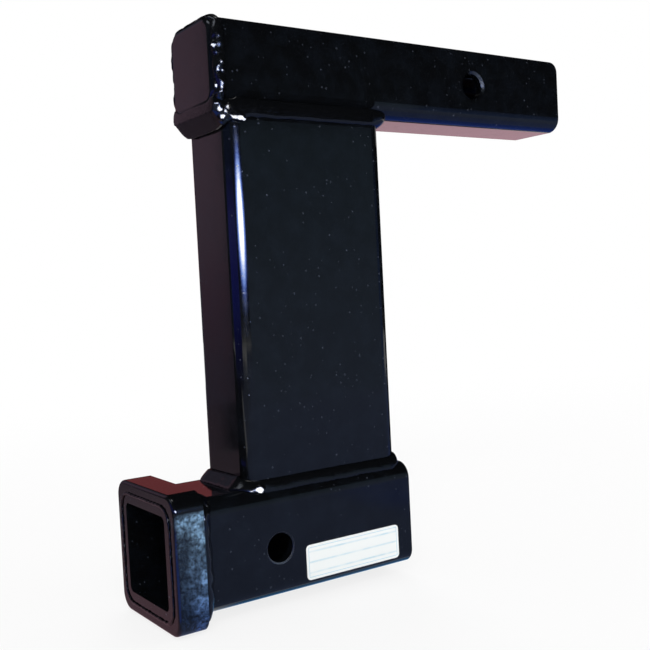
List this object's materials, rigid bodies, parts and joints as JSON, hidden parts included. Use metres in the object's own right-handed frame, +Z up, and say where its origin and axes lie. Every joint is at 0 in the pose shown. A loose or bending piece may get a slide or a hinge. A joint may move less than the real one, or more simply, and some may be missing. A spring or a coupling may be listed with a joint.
{
  "type": "drop hitch bar",
  "caption": "Welded drop bar for a square tow receiver: a pinned shank on top, a wide drop tube below it and a lower receiver socket with a collar.",
  "frame": {"origin": "centre of the shank's pin hole, on the shank's axis", "axes": "+X along the shank towards its free end, +Y along both pin holes, +Z up, with the drop tube and the receiver below"},
  "size_m": [0.3231, 0.0762, 0.3371],
  "materials": {
    "black_paint": "gloss enamel over steel tube",
    "painted_weld": "gloss enamel over a rippled weld bead",
    "label_film": "white vinyl film, blank"
  },
  "bodies": {
    "root": {"shank_tube": "black_paint", "end_cap": "black_paint", "drop_tube": "black_paint", "receiver_tube": "black_paint", "receiver_collar": "black_paint", "cap_weld": "painted_weld", "upper_joint_weld": "painted_weld", "lower_joint_weld": "painted_weld", "collar_weld": "painted_weld", "mouth_weld": "painted_weld", "data_label": "label_film"}
  },
  "joints": []
}
